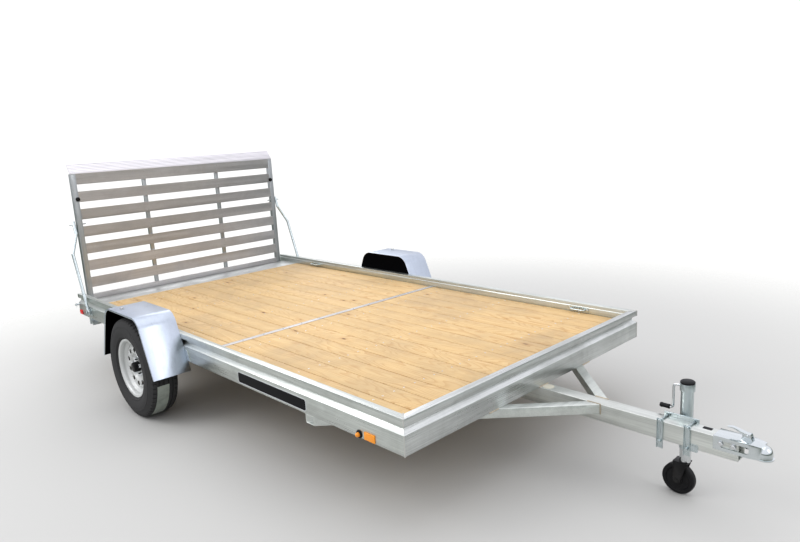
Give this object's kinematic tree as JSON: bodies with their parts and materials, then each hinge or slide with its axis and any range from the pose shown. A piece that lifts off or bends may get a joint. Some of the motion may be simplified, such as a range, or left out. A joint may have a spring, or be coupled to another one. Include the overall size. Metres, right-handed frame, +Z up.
{
  "type": "utility trailer",
  "caption": "Single-axle aluminium utility trailer with a board deck, raised ramp tailgate, flat-topped fenders and a swivel tongue jack.",
  "frame": {"origin": "on the ground, under the middle of the trailer's overall box", "axes": "+X forward towards the coupler, +Y towards the trailer's left side, +Z up"},
  "size_m": [5.028, 2.547, 1.639],
  "materials": {
    "rail_aluminium": "brushed extrusion",
    "tube_aluminium": "mill finish",
    "deck_timber": "bare treated pine",
    "bright_zinc": "bright zinc plate",
    "zinc_steel": "zinc plate",
    "jack_steel": "zinc plate",
    "black_steel": "satin black",
    "caster_plastic": "moulded",
    "axle_steel": "satin black",
    "fender_aluminium": "bright rolled sheet",
    "tyre_rubber": "matt",
    "rim_paint": "silver",
    "hub_steel": "plated",
    "gate_aluminium": "ribbed mill finish",
    "amber_lens": "moulded lens",
    "red_lens": "moulded lens"
  },
  "bodies": {
    "frame": {"side_rail_right": "rail_aluminium", "side_rail_left": "rail_aluminium", "front_rail": "rail_aluminium", "tail_plate": "rail_aluminium", "crossmembers": "rail_aluminium", "deck_boards": "deck_timber", "deck_strip": "tube_aluminium", "tongue_beam": "tube_aluminium", "tongue_brace_right": "tube_aluminium", "tongue_brace_left": "tube_aluminium", "coupler_body": "bright_zinc", "coupler_latch": "bright_zinc", "jack_clamp": "zinc_steel", "jack_bracket": "zinc_steel", "axle_beam": "axle_steel", "torsion_arm_right": "axle_steel", "torsion_arm_left": "axle_steel", "fender_right": "fender_aluminium", "fender_left": "fender_aluminium", "fender_brackets": "zinc_steel", "prop_brackets": "zinc_steel", "gate_hinge_pins": "zinc_steel", "tie_down_loops": "zinc_steel", "amber_lights": "amber_lens", "red_lights": "red_lens", "number_plate_bracket": "tube_aluminium", "stabiliser_brackets": "zinc_steel"},
    "wheel_right": {"tyre_right": "tyre_rubber", "rim_right": "rim_paint", "hub_right": "hub_steel"},
    "wheel_left": {"tyre_left": "tyre_rubber", "rim_left": "rim_paint", "hub_left": "hub_steel"},
    "tailgate": {"gate_frame": "gate_aluminium", "gate_slats": "gate_aluminium", "gate_lip": "gate_aluminium"},
    "prop_bar_right": {"prop_right": "zinc_steel"},
    "prop_bar_left": {"prop_left": "zinc_steel"},
    "jack": {"jack_tube": "jack_steel", "jack_crank": "jack_steel"},
    "jack_inner_leg": {"jack_leg": "jack_steel"},
    "jack_caster": {"jack_fork": "black_steel"},
    "jack_caster_wheel": {"jack_wheel": "caster_plastic"},
    "stabiliser_right": {"stabiliser_leg_right": "tube_aluminium"},
    "stabiliser_left": {"stabiliser_leg_left": "tube_aluminium"}
  },
  "joints": [
    {"name": "wheel_right_spin", "type": "hinge", "parent": "frame", "child": "wheel_right", "pos_m": [-0.937, -1.1685, 0.332], "axis": [0, 1, 0], "continuous": true},
    {"name": "wheel_left_spin", "type": "hinge", "parent": "frame", "child": "wheel_left", "pos_m": [-0.937, 1.1685, 0.332], "axis": [0, 1, 0], "continuous": true},
    {"name": "tailgate_hinge", "type": "hinge", "parent": "frame", "child": "tailgate", "pos_m": [-2.472, 0, 0.487], "axis": [0, -1, 0], "range_deg": [0, 112.5]},
    {"name": "prop_right_pivot", "type": "hinge", "parent": "frame", "child": "prop_bar_right", "pos_m": [-2.227, -1.049, 0.46], "axis": [0, 1, 0], "range_deg": [0, 94]},
    {"name": "prop_left_pivot", "type": "hinge", "parent": "frame", "child": "prop_bar_left", "pos_m": [-2.227, 1.049, 0.46], "axis": [0, 1, 0], "range_deg": [0, 94]},
    {"name": "jack_swivel", "type": "hinge", "parent": "frame", "child": "jack", "pos_m": [2.114, 0.06, 0.3555], "axis": [0, 1, 0], "range_deg": [0, 90]},
    {"name": "jack_lift", "type": "slide", "parent": "jack", "child": "jack_inner_leg", "axis": [0, 0, 1], "range_m": [-0.194, 0.06]},
    {"name": "jack_caster_swivel", "type": "hinge", "parent": "jack_inner_leg", "child": "jack_caster", "pos_m": [2.114, 0.096, 0.166], "axis": [0, 0, 1], "continuous": true},
    {"name": "jack_wheel_spin", "type": "hinge", "parent": "jack_caster", "child": "jack_caster_wheel", "pos_m": [2.089, 0.096, 0.076], "axis": [0, 1, 0], "continuous": true},
    {"name": "stabiliser_right_fold", "type": "hinge", "parent": "frame", "child": "stabiliser_right", "pos_m": [-2.262, -0.985, 0.367], "axis": [-1, 0, 0], "range_deg": [0, 90]},
    {"name": "stabiliser_left_fold", "type": "hinge", "parent": "frame", "child": "stabiliser_left", "pos_m": [-2.262, 0.985, 0.367], "axis": [1, 0, 0], "range_deg": [0, 90]}
  ]
}
